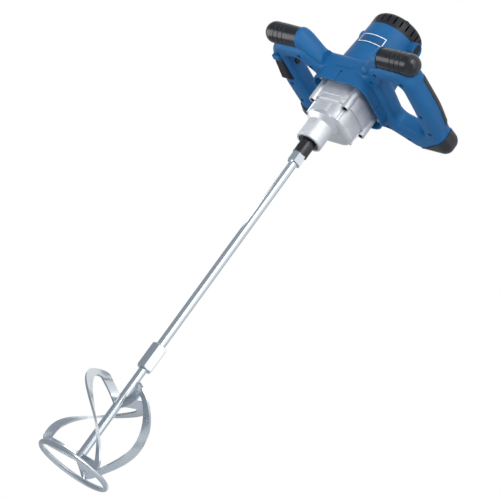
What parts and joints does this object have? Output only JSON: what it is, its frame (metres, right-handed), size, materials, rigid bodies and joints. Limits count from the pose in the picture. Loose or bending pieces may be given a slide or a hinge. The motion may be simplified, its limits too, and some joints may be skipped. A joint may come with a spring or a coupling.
{
  "type": "mixing drill",
  "caption": "Two-handed paddle mixing drill: framed housing with D-handles, motor barrel, cast gear case and a long stirrer with twisted blades and a ring.",
  "frame": {"origin": "on the spindle axis, at the lower edge of the clamping neck wall", "axes": "+Z along the spindle axis towards the motor, +X to the right handle seen from the front, -Y to the front"},
  "size_m": [0.3036, 0.2055, 0.8707],
  "materials": {
    "blue_plastic": "satin",
    "black_rubber": "matt",
    "black_plastic": "satin",
    "cast_aluminium": "bright cast",
    "dark_steel": "dark",
    "zinc_steel": "bright zinc",
    "bright_steel": "ground",
    "black_steel": "black oxide",
    "copper": "bare",
    "plate_blue": "satin"
  },
  "bodies": {
    "housing": {"lower_housing": "blue_plastic", "upper_housing": "blue_plastic", "motor_end_cap": "black_plastic", "name_plate": "plate_blue", "right_horn": "black_rubber", "left_horn": "black_rubber", "right_bumper": "black_rubber", "left_bumper": "black_rubber", "right_grip_strip": "black_rubber", "left_grip_strip": "black_rubber", "housing_screws": "black_steel", "end_cap_screws": "black_steel", "gear_case_screws": "black_steel", "case_mounting_screws": "zinc_steel", "front_gear_case": "cast_aluminium", "rear_gear_case": "cast_aluminium", "spindle_bearings": "bright_steel", "bearing_spacer": "bright_steel", "neck_seal": "black_rubber", "layshaft_bushes": "copper", "lower_motor_bearing": "bright_steel", "upper_motor_bearing": "bright_steel", "stator_core": "bright_steel", "stator_windings": "copper", "brush_holders": "copper", "carbon_brushes": "black_plastic", "brush_covers": "black_plastic", "trigger_pin": "bright_steel", "trigger_spring": "bright_steel", "switch_module": "black_plastic", "lock_button_spring": "bright_steel", "cable_inlet": "black_rubber"},
    "spindle": {"spindle": "dark_steel", "spindle_gear": "bright_steel", "spindle_circlip": "black_steel", "stirrer_rod": "zinc_steel", "hex_coupling": "zinc_steel", "paddle_shaft": "zinc_steel", "paddle_ring": "zinc_steel", "paddle_blade_1": "zinc_steel", "paddle_blade_2": "zinc_steel", "paddle_blade_3": "zinc_steel"},
    "layshaft": {"layshaft": "bright_steel", "layshaft_gear": "bright_steel"},
    "armature": {"armature_shaft": "bright_steel", "armature_core": "bright_steel", "commutator": "copper", "cooling_fan": "black_plastic"},
    "trigger": {"trigger": "black_plastic"},
    "lock_button": {"lock_button": "black_plastic"}
  },
  "joints": [
    {"name": "spindle_spin", "type": "hinge", "parent": "housing", "child": "spindle", "pos_m": [0, 0, 0], "axis": [0, 0, 1], "continuous": true},
    {"name": "layshaft_spin", "type": "hinge", "parent": "housing", "child": "layshaft", "pos_m": [0.01594, 0.00835, 0.06], "axis": [0, 0, 1], "continuous": true},
    {"name": "armature_spin", "type": "hinge", "parent": "housing", "child": "armature", "pos_m": [0, 0.0185, 0.15], "axis": [0, 0, 1], "continuous": true},
    {"name": "trigger_press", "type": "hinge", "parent": "housing", "child": "trigger", "pos_m": [-0.129, -0.024, 0.118], "axis": [1, 0, 0], "range_deg": [0, 7], "stiffness_Nm_per_rad": 1, "springref_deg": -2.86},
    {"name": "lock_button_push", "type": "slide", "parent": "housing", "child": "lock_button", "axis": [-1, 0, 0], "range_m": [0, 0.0025], "stiffness_N_per_m": 800, "springref_m": -0.001}
  ],
  "couplings": [
    {"joint": "layshaft_spin", "follows": "spindle_spin", "ratio": -3},
    {"joint": "armature_spin", "follows": "spindle_spin", "ratio": 15}
  ]
}
